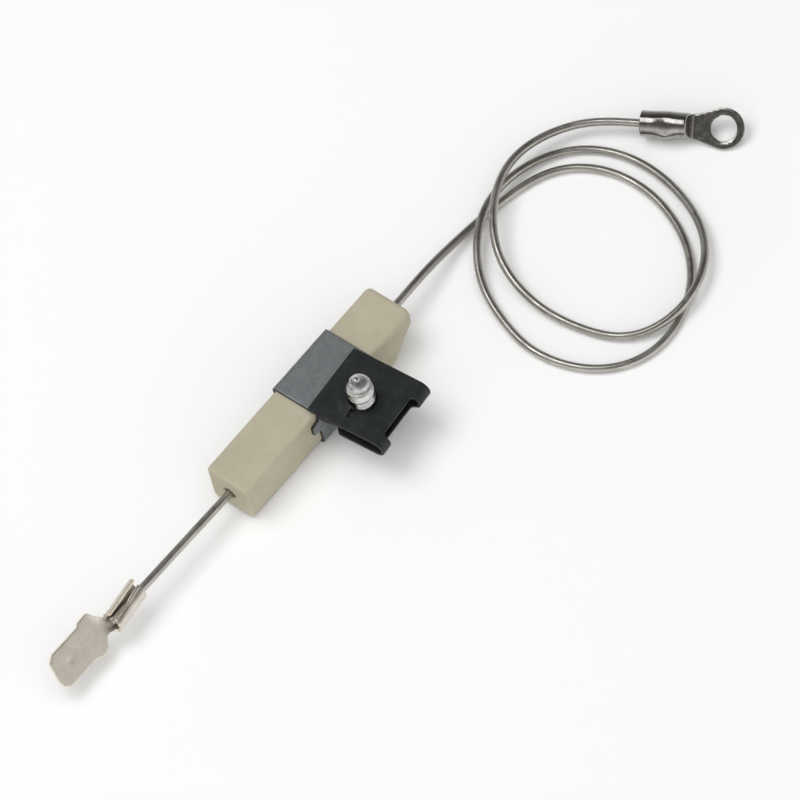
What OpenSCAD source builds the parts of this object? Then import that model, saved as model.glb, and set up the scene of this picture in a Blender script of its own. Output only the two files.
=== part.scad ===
// Flame sensor probe: a square ceramic insulator on a bare sensor wire, clamped by a strap, U-nut and screw.
// +X runs along the block from the tab to the coil, +Z is up, and the origin is the middle of the resting face.

/* [Ceramic block] */
// Height of the block
block_side = 9.525; // [9:0.025:10]
// Width of the block
block_width = 10.2; // [9:0.1:11]
// Distance from the origin to the tab end of the block
block_tab_end = 24.8; // [20:0.1:28]
// Distance from the origin to the coil end of the block
block_coil_end = 26.2; // [24:0.1:27]
// Radius along the long edges of the block
block_edge_r = 0.6; // [0.4:0.1:1]
// Diameter of the bore through the block
bore_d = 2.6; // [2.2:0.1:3]
// Diameter of the cement pocket at the coil end
pocket_d = 4.2; // [3.6:0.1:5]
// Depth of the cement pocket
pocket_depth = 6; // [4:0.5:10]
// Height above the resting face at which the slanted coil end starts
slant_top = 6; // [5:0.25:7]
// Distance along the block that the slant takes
slant_run = 7.2; // [5:0.1:9]

/* [Strap bracket] */
// Thickness of the strap sheet
strap_t = 0.65; // [0.5:0.05:0.8]
// Where the strap starts, measured from the origin towards the tab
strap_back = 3.3; // [2:0.1:6]
// Where the strap ends, measured from the origin towards the coil
strap_front = 13.2; // [10:0.1:14]
// Reach of the two clamping flanges from the middle of the block
flange_reach = 17.4; // [16:0.1:18]
// Gap between the two flanges
flange_gap = 0.45; // [0.3:0.05:0.8]
// Diameter of the screw's clearance hole in the flanges
flange_hole_d = 6.4; // [6:0.1:7.5]

/* [U-nut] */
// Length of the U-nut along the block
nut_length = 16.3; // [14:0.1:17]
// Distance from the screw's axis to the free edge of the top leaf
nut_free_edge = 8.2; // [7:0.1:9]
// Distance from the screw's axis to the outside of the fold
nut_fold_reach = 9.9; // [9:0.1:11]
// Thickness of the U-nut sheet
nut_t = 0.6; // [0.5:0.05:0.8]
// Outside height of the U-nut
nut_height = 3.35; // [3.1:0.05:3.5]
// Distance from the screw's axis to the middle of the U-nut's length, towards the coil
nut_shift = 0.65; // [0:0.05:1]
// Width of the window in the fold
nut_window = 8.4; // [6:0.1:10]
// Angle at which the U-nut sits on the flanges at rest
nut_angle = 5.5; // [0:0.5:8]

/* [Clamp screw] */
// Distance along the block from the origin to the screw's axis
screw_x = 4.35; // [4:0.05:5]
// Distance from the middle of the block to the screw's axis
screw_y = 11.4; // [11:0.1:12]
// Outside diameter of the thread
thread_d = 5.5; // [5.2:0.1:5.6]
// Root diameter of the thread
thread_root_d = 3.9; // [3.6:0.1:4]
// Pitch of the thread (11 threads per inch)
thread_pitch = 2.309; // [2.2:0.001:2.4]
// Length of the screw under its head
screw_length = 12.7; // [12:0.1:14]
// Height of the screw's tip above the resting face
screw_top = 18.65; // [18:0.05:19]
// Width across the flats of the hexagon head
hex_flats = 8; // [7:0.1:9]
// Diameter of the washer face under the head
washer_d = 10.6; // [9:0.1:11]

/* [Wire] */
// Diameter of the sensor wire
wire_d = 1.7; // [1.6:0.05:1.8]
// Bare length between the block and the tab terminal
tab_lead = 27.5; // [20:0.5:35]
// Sideways bend of that length, in degrees
tab_lead_yaw = 0.5; // [0:0.5:6]
// Upward bend of that length, in degrees
tab_lead_pitch = 1.5; // [0:0.5:5]

/* [Tab terminal] */
// Width of the quick-connect blade
blade_w = 6.35; // [6.2:0.05:6.4]
// Thickness of the quick-connect blade
blade_t = 0.81; // [0.75:0.01:0.85]
// Length of the blade beyond its shoulders
blade_length = 10.7; // [7.9:0.1:12]
// Width over the shoulders
shoulder_w = 7.7; // [7:0.1:8.5]
// Length of the crimp barrel
tab_barrel_length = 8.2; // [6:0.1:9]
// Turn of the terminal about its wire, in degrees
tab_roll = -45; // [-60:1:0]

/* [Ring terminal] */
// Outside diameter of the ring
ring_d = 8.3; // [8:0.1:9]
// Stud hole in the ring
stud_hole_d = 5.3; // [5:0.1:5.5]
// Thickness of the ring
ring_t = 0.8; // [0.7:0.05:1]
// Outside diameter of the crimp barrel
ring_barrel_d = 5.3; // [5:0.1:5.6]
// Length of the crimp barrel
ring_barrel_length = 9.2; // [8:0.1:10]
// Distance from the barrel's mouth to the middle of the ring
ring_reach = 16.5; // [16:0.1:18]
// Distance from the barrel's axis down to the middle of the ring's sheet
ring_drop = 1.2; // [1:0.1:1.4]
// Turn of the terminal about its wire, in degrees
ring_roll = 30; // [0:1:32]

/* [Hidden] */
$fn = 64;

CERAMIC = [0.72, 0.69, 0.60];
CEMENT = [0.80, 0.78, 0.72];
ZINC = [0.45, 0.47, 0.48];
BLACK_STEEL = [0.16, 0.17, 0.18];
BRIGHT_ZINC = [0.78, 0.79, 0.80];
WIRE_GREY = [0.50, 0.50, 0.48];
NICKEL = [0.72, 0.68, 0.64];

over = 1;                                       // how far a cutting shape runs past what it cuts
half_side = block_side / 2;
half_width = block_width / 2;
block_bottom = strap_t;                         // the strap lies on the resting face, the block on the strap
block_top = block_bottom + block_side;
axis_z = block_bottom + half_side;              // height of the bore's axis
head_start = strap_front + 0.1;                 // the block's thicker end starts beyond the strap
strap_top = block_top + strap_t;
strap_outside = half_width + strap_t;
wall_top = block_top - flange_gap;              // the side wall bends out into the lower flange here
ear_reach = 1.9;                                // small ear on the upper part of the side wall
ear_z = 5;
flange_start = strap_outside;                   // the flanges' own plan starts at the side wall
flange_straight = 0.6;
flange_narrow = 2.4;                            // their narrow part ends this far behind the origin
flange_corner = 1.8;
back_tab_reach = 4.8;                           // narrow tab on the far side wall, towards the coil
back_tab_z = [3, 8];

nut_top = 11.6;                                 // height of the top leaf's upper face
nut_fold_r = nut_height / 2;
nut_middle_z = nut_top - nut_fold_r;
thread_hole_r = thread_root_d / 2 + 0.06;       // the leaf's edge runs in the thread's groove
lower_free_edge = 4.3;                          // the lower leaf is shorter than the top one and tapers
lower_free_w = 10;
lower_taper_start = 1.2;
lower_hole_r = 3.4;
impression_half = 5.1;                          // slot each side of the thread hole, along the block
impression_w = 0.8;
window_depth = 1.7;
nut_corner_r = 1;

thread_half_width = 0.6;
crest_offset = thread_pitch / 2;                // crests lie half a pitch above and below the top leaf
leaf_z = nut_top - nut_t / 2;
screw_seat = screw_top - screw_length;          // height of the head's bearing face
washer_t = 0.9;
hex_h = 2.8;
cone_start = 0.9;                               // distance from the tip's end to the cone
cone_end = 0.15;
cone_r = 1.65;
nub_r = 0.7;
crests_each_side = 2;                           // whole crests above and below the first one over the top leaf

rod_end = block_coil_end + 0.3;                 // the rod meets the free lead here
wire_r = wire_d / 2;
bend_inside = 1;                                // the wire bends this far inside the mouth of the bore
bend_x = bend_inside - block_tab_end;
bend_gap = 0.2;                                 // the straight stretches stop this far from the bend
bend_sleeve_r = 1;                              // and a short sleeve, hidden in the bore, joins them
bend_sleeve_half = 0.6;
wall = 0.6;                                     // sheet thickness of both crimp barrels
lobe_gap = 0.3;                                 // gap between the two rolled wings of the tab's crimp
tab_wire_y = 0.55;                              // the wire lies in one lobe of the crimp, the other is hollow
tab_lobe_y = -1.05;
tab_lobe_r = 1.25;
tab_drop = 1.05;                                // from the wire's axis to the middle of the blade's sheet
neck_w = 3.2;
shoulder_start = tab_barrel_length + 3.2;
shoulder_end = shoulder_start + 3;
shoulder_slope = 0.6;
blade_end = shoulder_end + blade_length;
blade_chamfer = [1.3, 0.9];
dimple_x = shoulder_end + 5.9;
dimple_d = 1.6;
dimple_depth = 0.25;

// Route of the free lead's middle line: out of the block, down to the table, twice round, into the ring terminal.
// These are the control points of a cubic B-spline. The wire lies at its own radius, and higher where it crosses.
LEAD_ROUTE = [
    [26.5, 0, 5.4], [30, 0, 5.4], [36, 0.5, 4.8], [43.5, 1, 3], [52, 1, 1.3], [61, 0, 0.85],
    [69.5, -2.5, 0.85], [75, -7.5, 0.85], [78, -15, 0.85], [78, -24, 0.85], [75, -33, 0.85],
    [70, -40.5, 0.85], [63, -45.5, 0.85], [54.5, -48, 0.85], [46.5, -47, 0.85], [40, -42, 0.85],
    [36.5, -34.5, 0.85], [35.5, -26, 0.85], [38, -17.5, 1], [41.5, -9.5, 1.7], [47.5, -3.5, 2.6],
    [55, 1, 3.1], [63.5, 2, 2.4], [72, 0, 1.3], [78.5, -5, 0.85], [82, -12.5, 0.85],
    [82.5, -21, 1], [80.5, -30, 1.6], [76.5, -38.5, 2.4], [70, -44.5, 2.9], [61.5, -47, 2.9],
    [53.5, -45.5, 2], [47.5, -40.5, 1], [45, -32, 0.85], [44, -23, 1.4], [45.5, -14.5, 2.6],
    [49, -7.5, 3.9], [55.5, -1.5, 4.7], [63.5, 2.5, 4.6], [71.5, 3, 3.8], [79.5, -0.5, 3.3],
    [85, -6, 3.3], [88, -12.25, 3.5], [90.5, -16.75, 3.5]
];
LEAD_RINGS = 78;
LEAD_SIDES = 8;

last = len(LEAD_ROUTE) - 1;
ring_mouth = LEAD_ROUTE[last - 1];
ring_dir = LEAD_ROUTE[last] - ring_mouth;
ring_heading = atan2(ring_dir[1], ring_dir[0]);

// ---- helpers ----

// A rectangle from low to high with round corners
module rounded_rect(low, high, r) {
    size = high - low;
    translate(low + [r, 0]) square([size[0] - 2 * r, size[1]]);
    translate(low + [0, r]) square([size[0], size[1] - 2 * r]);
    for (y = [low[0] + r, high[0] - r])
        for (z = [low[1] + r, high[1] - r])
            translate([y, z]) circle(r);
}

// Extrudes a section drawn in Y and Z along X, from x0 to x1
module along_x(x0, x1) {
    translate([x0, 0, 0]) rotate([90, 0, 90]) linear_extrude(x1 - x0) children();
}

// A bar along X at the height of the bore
module axis_bar(x0, x1, r) {
    translate([x0, 0, axis_z]) rotate([0, 90, 0]) cylinder(h = x1 - x0, r = r);
}

// ---- cubic B-spline through control points ----

function knot(i, n) = min(max(i - 3, 0), n - 3);
function share(a, b) = b == 0 ? 0 : a / b;
function basis(i, k, t, n) =
    k == 0
        ? ((knot(i, n) <= t && t < knot(i + 1, n)) ? 1 : 0)
        : share(t - knot(i, n), knot(i + k, n) - knot(i, n)) * basis(i, k - 1, t, n)
            + share(knot(i + k + 1, n) - t, knot(i + k + 1, n) - knot(i + 1, n)) * basis(i + 1, k - 1, t, n);
function total(v, i = 0) = i == len(v) - 1 ? v[i] : v[i] + total(v, i + 1);
function on_route(route, t) =
    let (n = len(route), first = min(floor(t), n - 4))
        t >= n - 3
            ? route[n - 1]
            : total([for (i = [first : first + 3]) basis(i, 3, t, n) * route[i]]);
function unit(v) = v / norm(v);

// A round tube of radius r along a list of middle points, as one closed mesh
module swept_tube(line, r, sides) {
    n = len(line);
    rings = [
        for (i = [0 : n - 1])
            let (ahead = unit(line[min(i + 1, n - 1)] - line[max(i - 1, 0)]),
                side = unit(cross(ahead, [0, 0, 1])),
                up = cross(side, ahead))
                for (k = [0 : sides - 1])
                    let (a = 360 * (k + 0.5) / sides)
                        line[i] + r * (cos(a) * side + sin(a) * up)
    ];
    skin = [
        for (i = [0 : n - 2])
            for (k = [0 : sides - 1])
                let (next = (k + 1) % sides)
                    [i * sides + k, i * sides + next, (i + 1) * sides + next, (i + 1) * sides + k]
    ];
    start_cap = [for (k = [sides - 1 : -1 : 0]) k];
    end_cap = [for (k = [0 : sides - 1]) (n - 1) * sides + k];
    polyhedron(points = rings, faces = concat(skin, [start_cap, end_cap]), convexity = 10);
}

// ---- ceramic ----

// Side view of the whole block, with the slanted coil end
module block_profile() {
    rotate([90, 0, 0])
        linear_extrude(4 * block_side, center = true)
            polygon([
                [-block_tab_end, block_bottom - over],
                [block_coil_end - slant_run, block_bottom - over],
                [block_coil_end - slant_run, 0],
                [block_coil_end, slant_top],
                [block_coil_end, block_top + over],
                [-block_tab_end, block_top + over]
            ]);
}

module block_blank() {
    intersection() {
        union() {
            along_x(-block_tab_end, head_start + over)
                rounded_rect([-half_width, block_bottom], [half_width, block_top], block_edge_r);
            along_x(head_start, block_coil_end)
                rounded_rect([-strap_outside, 0], [half_width, block_top], block_edge_r);
        }
        block_profile();
    }
}

module ceramic_insulator() {
    color(CERAMIC)
        difference() {
            block_blank();
            axis_bar(-block_tab_end - over, block_coil_end + over, bore_d / 2);
            axis_bar(block_coil_end - pocket_depth, block_coil_end + over, pocket_d / 2);
        }
}

module cement_plug() {
    color(CEMENT)
        difference() {
            intersection() {
                axis_bar(block_coil_end - pocket_depth, block_coil_end, pocket_d / 2);
                block_profile();
            }
            axis_bar(block_coil_end - pocket_depth - over, block_coil_end + over, wire_r);
        }
}

// ---- strap bracket ----

// End view of the strap: once round the block, with both flanges
module strap_section() {
    bend_r = 1;
    difference() {
        rounded_rect([-strap_outside, 0], [strap_outside, strap_top], bend_r);
        rounded_rect([-half_width, block_bottom], [half_width, block_top], bend_r - strap_t);
        translate([-strap_outside - over, wall_top]) square([strap_t + 2 * over, strap_top]);
    }
    translate([-flange_start, block_top]) square([flange_start - half_width + bend_r, strap_t]);
    translate([-flange_start, wall_top - strap_t]) square([flange_start - half_width, strap_t]);
}

// Plan of the two flanges: slanted in from the ear to under the U-nut, with their free corners cut off
module flange_plan() {
    polygon([
        [strap_front, -flange_start + strap_t / 2],
        [-strap_back - ear_reach, -flange_start + strap_t / 2],
        [-strap_back - ear_reach, -flange_start - flange_straight],
        [-flange_narrow, -screw_y],
        [-flange_narrow, flange_corner - flange_reach],
        [flange_corner - flange_narrow, -flange_reach],
        [strap_front - flange_corner, -flange_reach],
        [strap_front, flange_corner - flange_reach]
    ]);
}

module strap_bracket() {
    color(ZINC)
        difference() {
            union() {
                along_x(-strap_back, strap_front) strap_section();
                translate([0, 0, block_top]) linear_extrude(strap_t) flange_plan();
                translate([0, 0, wall_top - strap_t]) linear_extrude(strap_t) flange_plan();
                translate([-strap_back - ear_reach, -strap_outside, ear_z])
                    cube([ear_reach + over, strap_t, wall_top - strap_t / 2 - ear_z]);
                translate([strap_front - over, half_width, back_tab_z[0]])
                    cube([back_tab_reach + over, strap_t, back_tab_z[1] - back_tab_z[0]]);
            }
            translate([screw_x, -screw_y, wall_top - strap_t - over])
                cylinder(h = strap_top - wall_top + strap_t + 2 * over, d = flange_hole_d);
        }
}

// ---- U-nut ----

// End view of the U-nut, with the screw's axis at zero
module nut_section() {
    fold_y = nut_fold_r - nut_fold_reach;
    difference() {
        translate([fold_y, nut_middle_z]) circle(nut_fold_r);
        translate([fold_y, nut_middle_z]) circle(nut_fold_r - nut_t);
        translate([fold_y, nut_middle_z - 2 * nut_fold_r]) square([2 * nut_fold_r, 4 * nut_fold_r]);
    }
    translate([fold_y, nut_top - nut_t]) square([nut_free_edge - fold_y, nut_t]);
    translate([fold_y, nut_top - nut_height]) square([lower_free_edge - fold_y, nut_t]);
}

// What the lower leaf's tapered free end leaves away, in plan
module lower_taper() {
    for (s = [-1, 1])
        scale([s, 1])
            polygon([
                [lower_free_w / 2, lower_free_edge + over],
                [lower_free_w / 2, lower_free_edge],
                [nut_length / 2, lower_taper_start],
                [nut_length / 2 + over, lower_taper_start],
                [nut_length / 2 + over, lower_free_edge + over]
            ]);
}

// The window through the fold and the rounded inner corners of the two ears
module fold_window() {
    inner = window_depth - nut_fold_reach;
    translate([-nut_window / 2, -nut_fold_reach - over]) square([nut_window, window_depth + over - nut_corner_r]);
    translate([-nut_window / 2 + nut_corner_r, inner - nut_corner_r - over])
        square([nut_window - 2 * nut_corner_r, nut_corner_r + over]);
    for (s = [-1, 1])
        translate([s * (nut_window / 2 - nut_corner_r), inner - nut_corner_r]) circle(nut_corner_r);
}

module u_nut() {
    color(BLACK_STEEL)
        translate([screw_x, -screw_y, 0])
            rotate([0, 0, nut_angle])
                difference() {
                    along_x(nut_shift - nut_length / 2, nut_shift + nut_length / 2) nut_section();
                    translate([nut_shift, 0, nut_middle_z - nut_height]) linear_extrude(nut_height) lower_taper();
                    translate([0, 0, nut_middle_z - nut_height]) linear_extrude(2 * nut_height) fold_window();
                    translate([0, 0, nut_middle_z]) cylinder(h = nut_height, r = thread_hole_r);
                    translate([0, 0, nut_middle_z - nut_height]) cylinder(h = nut_height, r = lower_hole_r);
                    translate([-impression_half, -impression_w / 2, nut_middle_z])
                        cube([2 * impression_half, impression_w, nut_height]);
                }
}

// ---- clamp screw ----

// Half outline of the threaded shank, with crests spaced by the pitch from the groove that holds the top leaf
module shank_outline() {
    root = thread_root_d / 2;
    crest = thread_d / 2;
    crests = [for (k = [-crests_each_side : crests_each_side]) leaf_z + crest_offset + k * thread_pitch];
    polygon(concat(
        [[0, screw_seat - over / 2], [root, screw_seat - over / 2]],
        [for (z = crests) for (p = [[root, z - thread_half_width], [crest, z], [root, z + thread_half_width]]) p],
        [[cone_r, screw_top - cone_start], [nub_r, screw_top - cone_end], [nub_r, screw_top], [0, screw_top]]
    ));
}

module clamp_screw() {
    color(BRIGHT_ZINC)
        translate([screw_x, -screw_y, 0]) {
            rotate_extrude() shank_outline();
            translate([0, 0, screw_seat - washer_t]) cylinder(h = washer_t, d = washer_d);
            translate([0, 0, screw_seat - washer_t - hex_h])
                cylinder(h = hex_h + washer_t / 2, d = hex_flats / cos(30), $fn = 6);
        }
}

// ---- wire ----

// Places children at the tab end of the block, with X along the bent lead
module lead_frame(along) {
    translate([bend_x, 0, axis_z])
        rotate([0, 0, 180 - tab_lead_yaw])
            rotate([0, -tab_lead_pitch, 0])
                translate([bend_inside + along, 0, 0])
                    children();
}

module sensor_rod() {
    color(WIRE_GREY) {
        axis_bar(bend_x + bend_gap, rod_end, wire_r);
        axis_bar(bend_x - bend_sleeve_half, bend_x + bend_sleeve_half, bend_sleeve_r);
        lead_frame(bend_gap - bend_inside)
            rotate([0, 90, 0])
                cylinder(h = bend_inside - bend_gap + tab_lead + tab_barrel_length, r = wire_r);
    }
}

module lead_wire() {
    spans = len(LEAD_ROUTE) - 3;
    line = [for (i = [0 : LEAD_RINGS - 1]) on_route(LEAD_ROUTE, i * spans / (LEAD_RINGS - 1))];
    color(WIRE_GREY) swept_tube(line, wire_r, LEAD_SIDES);
}

// ---- tab terminal ----

// Plan of the flat part of the terminal, from the neck to the blade's chamfered tip
module tab_plan() {
    half = [
        [tab_barrel_length - over, neck_w / 2],
        [shoulder_start, neck_w / 2],
        [shoulder_start + shoulder_slope, shoulder_w / 2],
        [shoulder_end - shoulder_slope, shoulder_w / 2],
        [shoulder_end, blade_w / 2],
        [blade_end - blade_chamfer[0], blade_w / 2],
        [blade_end, blade_w / 2 - blade_chamfer[1]]
    ];
    polygon(concat(half, [for (i = [len(half) - 1 : -1 : 0]) [half[i][0], -half[i][1]]]));
}

// End view of the folded crimp: one wing round the wire, the other rolled into a hollow lobe
module tab_crimp_section() {
    difference() {
        union() {
            translate([tab_wire_y, 0]) circle(wire_r + wall);
            translate([tab_lobe_y, -wall / 2]) circle(tab_lobe_r);
            translate([tab_lobe_y, -wire_r - wall]) square([tab_wire_y - tab_lobe_y, wall]);
        }
        translate([tab_wire_y, 0]) circle(wire_r);
        translate([tab_lobe_y, -wall / 2]) circle(tab_lobe_r - wall);
        translate([(tab_wire_y + tab_lobe_y) / 2 - lobe_gap - wall / 2, wall]) square([lobe_gap, 2 * wire_r]);
    }
}

module tab_terminal() {
    color(NICKEL)
        lead_frame(tab_lead)
            rotate([tab_roll, 0, 0])
                translate([0, -tab_wire_y, 0]) {
                    along_x(0, tab_barrel_length) tab_crimp_section();
                    translate([0, 0, -tab_drop - blade_t / 2])
                        difference() {
                            linear_extrude(blade_t) tab_plan();
                            translate([dimple_x, 0, blade_t - dimple_depth])
                                cylinder(h = dimple_depth + over, d = dimple_d);
                        }
                }
}

// ---- ring terminal ----

// Plan of the ring and its tongue, with the barrel's mouth at zero
module ring_plan() {
    lean = acos((ring_d - neck_w) / 2 / (ring_reach - ring_barrel_length));
    touch = ring_d / 2 * [cos(lean), sin(lean)];
    difference() {
        union() {
            translate([ring_reach, 0]) circle(ring_d / 2);
            polygon([
                [ring_barrel_length - over, neck_w / 2],
                [ring_reach - touch[0], touch[1]],
                [ring_reach - touch[0], -touch[1]],
                [ring_barrel_length - over, -neck_w / 2]
            ]);
        }
        translate([ring_reach, 0]) circle(stud_hole_d / 2);
    }
}

module ring_terminal() {
    color(NICKEL)
        translate(ring_mouth)
            rotate([0, 0, ring_heading])
                rotate([ring_roll, 0, 0]) {
                    rotate([0, 90, 0])
                        difference() {
                            cylinder(h = ring_barrel_length, d = ring_barrel_d);
                            translate([0, 0, -over])
                                cylinder(h = ring_barrel_length + over - wall, r = wire_r);
                        }
                    translate([0, 0, -ring_drop - ring_t / 2]) linear_extrude(ring_t) ring_plan();
                }
}

ceramic_insulator();
cement_plug();
strap_bracket();
u_nut();
clamp_screw();
sensor_rod();
lead_wire();
tab_terminal();
ring_terminal();
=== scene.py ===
"""Looks of the flame sensor probe: a ceramic block on a wire, its strap, U-nut, screw and two terminals.

Shapes are worked out in millimetres and scaled to metres when a piece is made. Only the lead's route is in
metres. The origin is the middle of the resting face, +X runs along the block from the tab to the coil, and +Z
is up.
"""

import math

import bmesh
import bpy
from mathutils import Matrix, Vector, geometry, noise


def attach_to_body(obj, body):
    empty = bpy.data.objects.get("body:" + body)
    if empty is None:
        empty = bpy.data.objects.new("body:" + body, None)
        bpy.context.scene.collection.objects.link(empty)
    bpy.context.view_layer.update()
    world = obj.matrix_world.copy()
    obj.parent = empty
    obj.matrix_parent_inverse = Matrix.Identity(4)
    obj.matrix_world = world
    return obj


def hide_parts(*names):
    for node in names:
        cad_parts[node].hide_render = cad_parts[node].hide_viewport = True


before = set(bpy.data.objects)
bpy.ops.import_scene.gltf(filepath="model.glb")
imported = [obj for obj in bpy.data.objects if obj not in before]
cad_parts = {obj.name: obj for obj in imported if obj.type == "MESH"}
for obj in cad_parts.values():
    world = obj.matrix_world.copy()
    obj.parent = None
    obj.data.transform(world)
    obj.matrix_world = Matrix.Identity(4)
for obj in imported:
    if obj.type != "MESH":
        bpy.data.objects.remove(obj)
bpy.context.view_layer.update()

MM = 0.001

# ---- sizes in millimetres and angles in degrees that follow the CAD part ----

BLOCK_HEIGHT = 9.525
BLOCK_WIDTH = 10.2
BLOCK_TAB_END = -24.8
BLOCK_COIL_END = 26.2
BORE_R = 1.3
POCKET_R = 2.1
POCKET_DEPTH = 6.0
SLANT_TOP = 6.0
SLANT_RUN = 7.2
STRAP_T = 0.65
STRAP_BACK = -3.3
STRAP_FRONT = 13.2
FLANGE_REACH = 17.4
FLANGE_GAP = 0.45
FLANGE_HOLE_R = 3.2
SCREW_X = 4.35
SCREW_Y = -11.4
SCREW_TOP = 18.65
SCREW_SEAT = 5.95
THREAD_R = 2.75
PITCH = 2.309
WASHER_R = 5.3
WASHER_T = 0.9
HEX_HALF = 4.0
HEX_HEIGHT = 2.8
NUT_HALF = 8.15
NUT_FREE_EDGE = 8.2
NUT_FOLD_REACH = 9.9
NUT_T = 0.6
NUT_TOP = 11.6
NUT_SHIFT = 0.65
WIRE_R = 0.85
ROD_END = 26.5
TAB_YAW = 179.5
TAB_PITCH = -1.5
TAB_ROLL = -45
TAB_START = 28.5
TAB_BARREL = 8.2
TAB_WIRE_Y = 0.55
TAB_DROP = 1.05
RING_R = 4.15
RING_HOLE_R = 2.65
RING_BARREL_R = 2.65
RING_T = 0.8
RING_DROP = 1.2
RING_ROLL = 30

# ---- sizes and angles that follow the photo more closely than the CAD part does ----

ROOT_R = 1.9
CONE_HEIGHT = 1.45
NUB_HEIGHT = 0.3
NUT_HEIGHT = 4.1
NUT_ANGLE = 4.2
TAB_T = 0.7
RING_MOUTH = 1.2
RING_NECK = 10.0
RING_NECK_HALF = 2.1
RING_REACH = 17.65

# ---- sizes worked out from those ----

HALF_WIDTH = BLOCK_WIDTH / 2
BLOCK_BOTTOM = STRAP_T
BLOCK_TOP = BLOCK_BOTTOM + BLOCK_HEIGHT
AXIS_Z = BLOCK_BOTTOM + BLOCK_HEIGHT / 2
POCKET_X = BLOCK_COIL_END - POCKET_DEPTH
HEAD_START = STRAP_FRONT + 0.1
LEAF_Z = NUT_TOP - NUT_T / 2
WIRE_BEND = (BLOCK_TAB_END + 1, 0, AXIS_Z)
CONE_Z = SCREW_TOP - CONE_HEIGHT
NUB_Z = SCREW_TOP - NUB_HEIGHT
# Angle at which the tongue's sides touch the ring, and how far each side widens per millimetre
RING_LEAN = math.acos((RING_R - RING_NECK_HALF) / (RING_REACH - RING_NECK))
RING_WIDEN = 1 / math.tan(RING_LEAN)

# The lead's route in metres: control points of a cubic B-spline, the same ones as in the CAD part.
LEAD_ROUTE = [
    (0.0265, 0, 0.0054), (0.030, 0, 0.0054), (0.036, 0.0005, 0.0048), (0.0435, 0.001, 0.003),
    (0.052, 0.001, 0.0013), (0.061, 0, 0.00085), (0.0695, -0.0025, 0.00085), (0.075, -0.0075, 0.00085),
    (0.078, -0.015, 0.00085), (0.078, -0.024, 0.00085), (0.075, -0.033, 0.00085), (0.070, -0.0405, 0.00085),
    (0.063, -0.0455, 0.00085), (0.0545, -0.048, 0.00085), (0.0465, -0.047, 0.00085), (0.040, -0.042, 0.00085),
    (0.0365, -0.0345, 0.00085), (0.0355, -0.026, 0.00085), (0.038, -0.0175, 0.001), (0.0415, -0.0095, 0.0017),
    (0.0475, -0.0035, 0.0026), (0.055, 0.001, 0.0031), (0.0635, 0.002, 0.0024), (0.072, 0, 0.0013),
    (0.0785, -0.005, 0.00085), (0.082, -0.0125, 0.00085), (0.0825, -0.021, 0.001), (0.0805, -0.030, 0.0016),
    (0.0765, -0.0385, 0.0024), (0.070, -0.0445, 0.0029), (0.0615, -0.047, 0.0029), (0.0535, -0.0455, 0.002),
    (0.0475, -0.0405, 0.001), (0.045, -0.032, 0.00085), (0.044, -0.023, 0.0014), (0.0455, -0.0145, 0.0026),
    (0.049, -0.0075, 0.0039), (0.0555, -0.0015, 0.0047), (0.0635, 0.0025, 0.0046), (0.0715, 0.003, 0.0038),
    (0.0795, -0.0005, 0.0033), (0.085, -0.006, 0.0033), (0.088, -0.01225, 0.0035), (0.0905, -0.01675, 0.0035),
]

# The studio's walls: brightness at table height and overhead, its share in front and behind, and the front
SKY_LOW = 0.95
SKY_HIGH = 0.16
SKY_FRONT = 1.4
SKY_BACK = 0.5
SKY_FRONT_WAY = (-0.55, -0.83, 0)

# ---- small helpers ----


def smooth(low, high, value):
    """0 below low, 1 above high, and a smooth step between."""
    t = min(max((value - low) / (high - low), 0.0), 1.0)
    return t * t * (3 - 2 * t)


def wobble(point, size, seed):
    """Smooth noise from -1 to 1 whose lumps are about size across."""
    return noise.noise(Vector(point) / size + Vector((seed, seed * 0.37, -seed)))


def circle(cx, cy, r, count):
    """Points round a circle, counterclockwise."""
    turn = [math.radians(360 * i / count) for i in range(count)]
    return [(cx + r * math.cos(a), cy + r * math.sin(a)) for a in turn]


def rounded(corners, radii, steps):
    """A closed outline through corners given counterclockwise, with each corner rounded to its radius."""
    points = []
    for i, corner in enumerate(corners):
        here = Vector(corner)
        back = (Vector(corners[i - 1]) - here).normalized()
        ahead = (Vector(corners[(i + 1) % len(corners)]) - here).normalized()
        radius = radii[i] if isinstance(radii, (list, tuple)) else radii
        half = back.angle(ahead) / 2
        if radius <= 0 or half > math.radians(88):
            points.append(tuple(here))
            continue
        middle = here + (back + ahead).normalized() * radius / math.sin(half)
        first = here + back * radius / math.tan(half) - middle
        last = here + ahead * radius / math.tan(half) - middle
        for k in range(steps + 1):
            points.append(tuple(middle + first.slerp(last, k / steps).normalized() * radius))
    return points


def inside(point, outline):
    """True if a plan point lies within a closed outline."""
    x, y = point
    found = False
    for (x0, y0), (x1, y1) in zip(outline, outline[1:] + outline[:1]):
        if (y0 > y) != (y1 > y) and x < (x1 - x0) * (y - y0) / (y1 - y0) + x0:
            found = not found
    return found


def on_sheet(point, outline, holes):
    """True if a plan point lies within the outline and outside its holes."""
    return inside(point, outline) and not any(inside(point, hole) for hole in holes)


def gap_to(point, outline):
    """Distance from a plan point to the nearest edge of a closed outline."""
    p = Vector(point)
    best = 1e9
    for a, b in zip(outline, outline[1:] + outline[:1]):
        a, b = Vector(a), Vector(b)
        d = b - a
        t = min(max((p - a).dot(d) / max(d.length_squared, 1e-12), 0.0), 1.0)
        best = min(best, (a + d * t - p).length)
    return best


def straight(length):
    """A straight step of folded_line."""
    return length, 0.0


def arc(radius, turn):
    """A bend of folded_line: its radius, and its turn in degrees, positive to the left."""
    return radius * abs(math.radians(turn)), math.radians(turn)


def flat_length(steps):
    """Length of a folded_line's steps when the sheet is flat."""
    return sum(length for length, _ in steps)


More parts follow.
